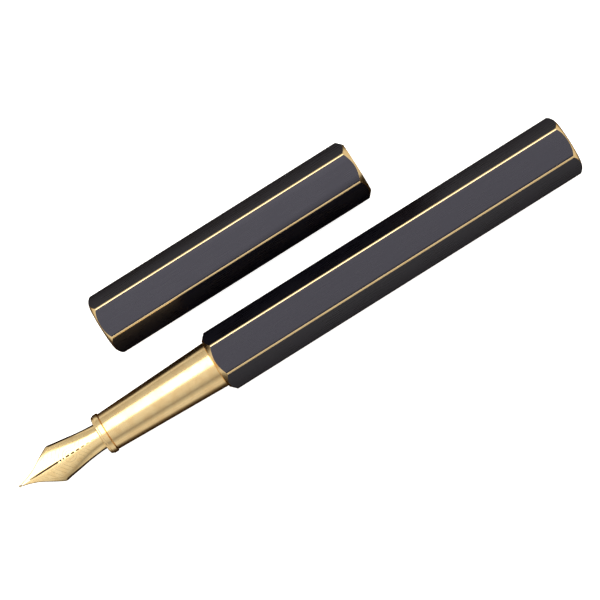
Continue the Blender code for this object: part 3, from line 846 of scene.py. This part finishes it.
def makeHousing():
    values = housingValues
    radius, inner, rear = values["radius"], values["inner"], values["rear"]
    nipple, hole, nippleEnd = values["nippleRadius"], values["nippleHole"], values["nippleEnd"]
    front = values["front"] - sectionReach
    threadFront = front + values["threadFront"]
    outline = [
        (front, inner), (front, radius - 0.08), (front + 0.08, radius), (threadFront - 0.2, radius),
        *steppedLine(threadFront, rear - 0.3, radius - 0.05, values["threadPitch"] / threadPoints),
        (rear, radius - 0.25), (rear, nipple + 0.2), (rear + 0.2, nipple), (nippleEnd - 0.25, nipple),
        (nippleEnd, nipple - 0.2), (nippleEnd, hole), (values["floor"], hole), (values["floor"], inner),
        (front, inner)]
    housing = turned("nibHousing", penStart, outline, values["steps"])
    pressThread(housing, penStart, (threadFront, rear - 0.3), (radius - 0.1, radius),
                values["threadPitch"], values["threadDepth"])
    settle(housing, "nib_unit", ["nib_housing"], [blackPlastic])


# the converter
converterValues = {
    # front and rear ends are places behind the barrel's front end, in millimetres
    "tube": (-11.2, 32.0), "tubeRadius": 3.4, "tubeBore": 2.75, "tubeRound": 0.35,
    "mouthBore": 1.45, "mouthEnd": -6.3, "reservoirFront": -5.0,
    "band": (22.0, 37.6), "bandRadius": 3.75, "chamfer": 0.12,
    "nut": (30.2, 37.4), "nutRadius": 3.3,
    "piston": (25.2, 29.5), "buttonRadius": 1.5, "stubRadius": 0.9,
    "rodRadius": 1.2, "rodRear": 61.6, "rodPitch": 1.0, "rodDepth": 0.12,
    "knob": (37.8, 64.5), "knobRadius": 3.6, "knobBore": 2.5, "knobBoreEnd": 62.5, "knobRound": 0.7,
    "knobGroove": (9.0, 9.6, 0.15),               # from and to, behind the knob's front, and depth
    "flutes": 20, "fluteDepth": 0.16,
    "steps": 96, "smallSteps": 72, "shinySteps": 128, "knobSteps": 160,
}


def makeConverterBody():
    values = converterValues
    front, rear = values["tube"]
    radius, bore, mouth, arc = (values[key] for key in ("tubeRadius", "tubeBore", "mouthBore", "tubeRound"))
    outline = [
        (front, mouth + 0.15), (front, radius - arc), *arcPoints(front + arc, radius - arc, arc, 170, 90, 5),
        (rear, radius), (rear, bore), (values["reservoirFront"] + 0.3, bore),
        (values["reservoirFront"], bore - 0.12), (values["mouthEnd"], mouth), (front + 0.3, mouth),
        (front, mouth + 0.15)]
    tube = turned("converterTube", penStart, outline, values["steps"])
    settle(tube, "converter", ["converter_tube"], [clearPlastic])

    bandFront, bandRear = values["band"]
    inner, outer = radius + 0.05, values["bandRadius"]
    low = outer - values["chamfer"]
    outline = [
        (bandFront, inner), (bandFront, low), (bandFront + values["chamfer"], outer), (bandFront + 1.1, outer),
        (bandFront + 1.25, low), (bandFront + 1.45, low), (bandFront + 1.6, outer),
        (bandRear - values["chamfer"], outer), (bandRear, low), (bandRear, inner), (bandFront, inner)]
    band = turned("converterBand", penStart, outline, values["shinySteps"])
    settle(band, "converter", ["converter_band"], [chrome])

    nutFront, nutRear = values["nut"]
    hole, plug = values["rodRadius"] + 0.05, bore - 0.08
    outline = [
        (nutFront, hole), (nutFront, plug - 0.1), (nutFront + 0.1, plug), (rear + 0.05, plug),
        (rear + 0.05, values["nutRadius"]), (nutRear, values["nutRadius"]), (nutRear, hole), (nutFront, hole)]
    nut = turned("spindleNut", penStart, outline, values["smallSteps"])
    settle(nut, "converter", ["spindle_nut"], [blackPlastic])


def makePiston():
    values = converterValues
    front, rear = values["piston"]
    radius, end, button, stub = (values[key] for key in ("rodRadius", "rodRear", "buttonRadius", "stubRadius"))
    buttonRear = front + 0.7
    outline = [
        (front, 0.0), (front, button - 0.25), (front + 0.25, button), (buttonRear, button), (buttonRear, stub),
        (rear, stub), (rear, radius), *steppedLine(rear + 0.4, end - 0.3, radius - 0.06, 0.16),
        (end, radius - 0.3), (end, 0.0)]
    rod = turned("pistonRod", penStart, outline, 48)
    pressThread(rod, penStart, (rear + 0.4, end - 0.3), (radius - 0.1, radius), values["rodPitch"],
                values["rodDepth"])
    settle(rod, "piston", ["piston_rod"], [blackPlastic])

    # the seal has a lip at each end and a waist between them
    lip, hole = values["tubeBore"] - 0.03, stub + 0.05
    first, last = buttonRear + 0.08, rear - 0.08
    half = [(0.0, hole), (0.0, lip - 0.35), (0.08, lip - 0.08), (0.3, lip), (0.6, lip), (0.85, lip - 0.2),
            (1.2, lip - 0.55)]
    outline = [(first + along, height) for along, height in half]
    outline += [(last - along, height) for along, height in reversed(half)] + [outline[0]]
    seal = turned("pistonSeal", penStart, outline, values["smallSteps"])
    settle(seal, "piston", ["piston_seal"], [rubber])


def makeKnob():
    values = converterValues
    front, rear = values["knob"]
    radius, bore, boreEnd, arc = (values[key] for key in ("knobRadius", "knobBore", "knobBoreEnd", "knobRound"))
    grooveFront, grooveRear, grooveDepth = values["knobGroove"]
    low = radius - grooveDepth
    outline = [
        (boreEnd, 0.0), (boreEnd, bore), (front, bore), (front, radius - values["chamfer"]),
        (front + values["chamfer"], radius), (front + grooveFront, radius), (front + grooveFront + 0.1, low),
        (front + grooveRear - 0.1, low), (front + grooveRear, radius),
        *steppedLine(front + grooveRear + 0.4, rear - 1.6, radius, 1.5), (rear - 1.2, radius),
        *arcPoints(rear - arc, radius - arc, arc, 90, 0, 8), (rear, 0.0)]
    knob = turned("converterKnob", penStart, outline, values["knobSteps"])
    pressFlutes(knob, penStart, (front + grooveRear + 0.6, rear - 1.4), radius - 0.1, values["flutes"],
                values["fluteDepth"])
    settle(knob, "knob", ["converter_knob"], [chrome], 30)

    hole, outer = values["rodRadius"] + 0.06, bore - 0.08
    outline = [(front + 0.1, hole), (front + 0.1, outer - 0.1), (front + 0.2, outer), (boreEnd - 0.1, outer),
               (boreEnd - 0.1, hole), (front + 0.1, hole)]
    core = turned("knobCore", penStart, outline, 64)
    settle(core, "knob", ["knob_core"], [blackPlastic])


# inside the cap
linerValues = {
    "closedEnd": 9.5, "mouth": 36.0, "radius": 4.75, "bore": 4.3, "floor": 1.0, "round": 0.6,
    "groove": (34.2, 35.2), "grooveRadius": 4.55, "snapInner": 4.12, "snapGap": 14.0,
    "steps": 96, "snapSteps": 120,
}


def makeLiner():
    values = linerValues
    rear, front = values["groove"]
    radius, bore, groove, arc = (values[key] for key in ("radius", "bore", "grooveRadius", "round"))
    closed, mouth = values["closedEnd"], values["mouth"]
    floor = closed + values["floor"]
    outline = [
        (closed, 0.0), (closed, radius - arc), *arcPoints(closed + arc, radius - arc, arc, 180, 90, 6),
        (mouth - 0.1, radius), (mouth, radius - 0.1), (mouth, bore + 0.15), (mouth - 0.25, bore), (front, bore),
        (front, groove), (rear, groove), (rear, bore), (floor + 0.5, bore), (floor, bore - 0.5), (floor, 0.0)]
    liner = turned("capLiner", capStart, outline, values["steps"])
    settle(liner, "cap", ["cap_liner"], [greyPlastic])

    # the spring ring lies in the groove and is open at the bottom
    inner, outer = values["snapInner"], groove - 0.05
    outline = [(rear + 0.1, inner + 0.1), (rear + 0.1, outer), (front - 0.1, outer), (front - 0.1, inner + 0.1),
               (front - 0.25, inner), (rear + 0.25, inner), (rear + 0.1, inner + 0.1)]
    snap = turned("capSnapRing", capStart, outline, values["snapSteps"])
    gap = 2 * outer * math.sin(math.radians(values["snapGap"] / 2))
    clearSelection()
    bpy.ops.mesh.primitive_cube_add(size=1, location=capStart + Vector(((rear + front) / 2, 0, -outer)) * mm,
                                    scale=(3 * mm, gap * mm, 2 * mm))
    boolean(snap, bpy.context.object, "DIFFERENCE")
    settle(snap, "cap", ["cap_snap_ring"], [springSteel])


makeBarrel()
makeCap()
print("hexagonal pieces made")
makeSection()
makeNib()
makeTipping()
makeFeed()
makeHousing()
print("section and nib unit made")
makeConverterBody()
makePiston()
makeKnob()
makeLiner()
print("converter and cap liner made")


# floor, lights and camera
stageValues = {
    "floorSize": 3.0,
    "floorColour": colour(0.80, 0.80, 0.80),
    "floorShade": colour(0.78, 0.78, 0.78),
    "floorRoughness": 0.85,
    "floorGlow": 0.80,
    # the softbox over the cap's side: angle from overhead, distance and size in millimetres, radiance
    "key": {"angle": 24.3, "distance": 800.0, "size": (1500.0, 700.0), "radiance": 2.4},
    # brightness of the tent, by angle from overhead: towards the viewer negative, over the cap positive
    "tent": (
        (-180, 0.02), (-118, 0.5), (-92, 1.0), (-80, 0.72), (-68, 0.52), (-59, 0.30), (-51, 0.58), (-30, 0.86),
        (0, 0.98), (20, 0.9), (60, 0.68), (80, 0.6), (100, 0.3), (180, 0.02)),
    "tentTint": (1.0, 0.97, 0.90),
    "keyColour": (1.0, 0.985, 0.93),
    # the card that the polished pieces reflect, with painted shade close to the pen and the cap that stands in
    # for their shadow and, in reflections, for the cap
    "cardHeight": 0.02,
    "cardGrey": 0.55,
    "paintedCardShade": colour(0.025, 0.015, 0.007),     # painted shade close to the pen and the cap, with a painted warm tint as if from the brass
    "paintedShadeReach": (9.0, 34.0),                      # where the painted shade begins to fade and where it is gone, in millimetres from an axis
    "cardEnds": 2.2,                              # how much sooner the painted shade fades beyond a piece's ends
}


def makeFloor():
    values = stageValues
    clearSelection()
    bpy.ops.mesh.primitive_plane_add(size=values["floorSize"], location=(0, 0, 0))
    floor = bpy.context.object
    floor.name = "floor"
    material, paper = newFinish("floorPaper", {
        "Specular IOR Level": 0.1, "Emission Color": colour(1, 1, 1), "Emission Strength": values["floorGlow"]})
    tooth = paper.noise(paper.place((0, 0, 0)), 0.8, 3.0)
    paper.feed("Base Color", paper.mix(tooth, values["floorColour"], values["floorShade"]))
    paper.feed("Roughness", values["floorRoughness"] + tooth * 0.1)
    floor.data.materials.append(material)
    floor.visible_glossy = False


def makeCard():
    values = stageValues
    clearSelection()
    bpy.ops.mesh.primitive_plane_add(size=values["floorSize"], location=(0, 0, values["cardHeight"] * mm))
    card = bpy.context.object
    card.name = "reflectionCard"
    material, felt = newFinish("cardFelt", {"Specular IOR Level": 0.0, "Roughness": 1.0})
    x, y, _ = felt.parts(felt.place((0, 0, 0)))
    near, far = values["paintedShadeReach"]
    light = values["cardGrey"]
    # painted shade: the card is darkened close to each axis, fading to its light grey further out
    for low, high, start in ((ringLow, barrelHigh, penStart), (capLow, capHigh, capStart)):
        middle, half = (low.x + high.x) / 2 / mm, (high.x - low.x) / 2 / mm
        beside = y - start.y / mm
        beyond = ((x - middle).combine("ABSOLUTE") - half).combine("MAXIMUM", 0.0) * values["cardEnds"]
        light = (beside * beside + beyond * beyond).combine("SQRT").fade(near, far) * light
    felt.feed("Base Color", felt.mix(light, values["paintedCardShade"], colour(1.0, 1.0, 1.0)))
    card.data.materials.append(material)
    card.visible_camera = False
    card.visible_diffuse = False
    card.visible_shadow = False
    card.visible_transmission = False


def makeTent():
    values = stageValues
    world = bpy.data.worlds.new("tent")
    bpy.context.scene.world = world
    tent = Finish(world, "Background", {})
    direction = tent.node("ShaderNodeTexCoord", {}, {}, "Generated")
    _, y, z = tent.parts(direction)
    turnShare = y.combine("ARCTAN2", z) / fullTurn + 0.5
    stops = [(angle / 360 + 0.5, colour(*(value * tint for tint in values["tentTint"])))
             for angle, value in values["tent"]]
    tent.feed("Color", tent.node("ShaderNodeValToRGB", {"stops": stops}, {"Fac": turnShare}, "Color"))


def makeSoftbox():
    key = stageValues["key"]
    data = bpy.data.lights.new("softbox", "AREA")
    data.shape = "RECTANGLE"
    data.size, data.size_y = (side * mm for side in key["size"])
    data.energy = key["radiance"] * math.pi * data.size * data.size_y
    data.color = stageValues["keyColour"]
    light = bpy.data.objects.new("softbox", data)
    bpy.context.scene.collection.objects.link(light)
    angle = math.radians(key["angle"])
    light.location = Vector((0, math.sin(angle), math.cos(angle))) * key["distance"] * mm
    light.rotation_euler = light.location.to_track_quat("Z", "Y").to_euler()


cameraValues = {
    "aim": (2.54, -6.96, 5.5),       # millimetres
    "place": (10.4, -44.2, 605.0),
    "lens": 188.63,
    "roll": 32.15,                   # degrees that the pen climbs to the right
    "nearest": 10.0,
}


def makeCamera():
    values = cameraValues
    place, aim = Vector(values["place"]) * mm, Vector(values["aim"]) * mm
    back = (place - aim).normalized()
    roll = math.radians(values["roll"])
    across = Vector((math.cos(roll), -math.sin(roll), 0.0))
    across = (across - back * across.dot(back)).normalized()
    up = back.cross(across)
    data = bpy.data.cameras.new("camera")
    data.lens = values["lens"]
    data.clip_start = values["nearest"] * mm
    camera = bpy.data.objects.new("camera", data)
    bpy.context.scene.collection.objects.link(camera)
    turn = Matrix((across, up, back)).transposed().to_4x4()
    camera.matrix_world = Matrix.Translation(place) @ turn
    bpy.context.scene.camera = camera


makeFloor()
makeCard()
makeTent()
makeSoftbox()
makeCamera()
bpy.context.scene.view_settings.view_transform = "Standard"
print("stage, light and camera made")
print("scene ready")
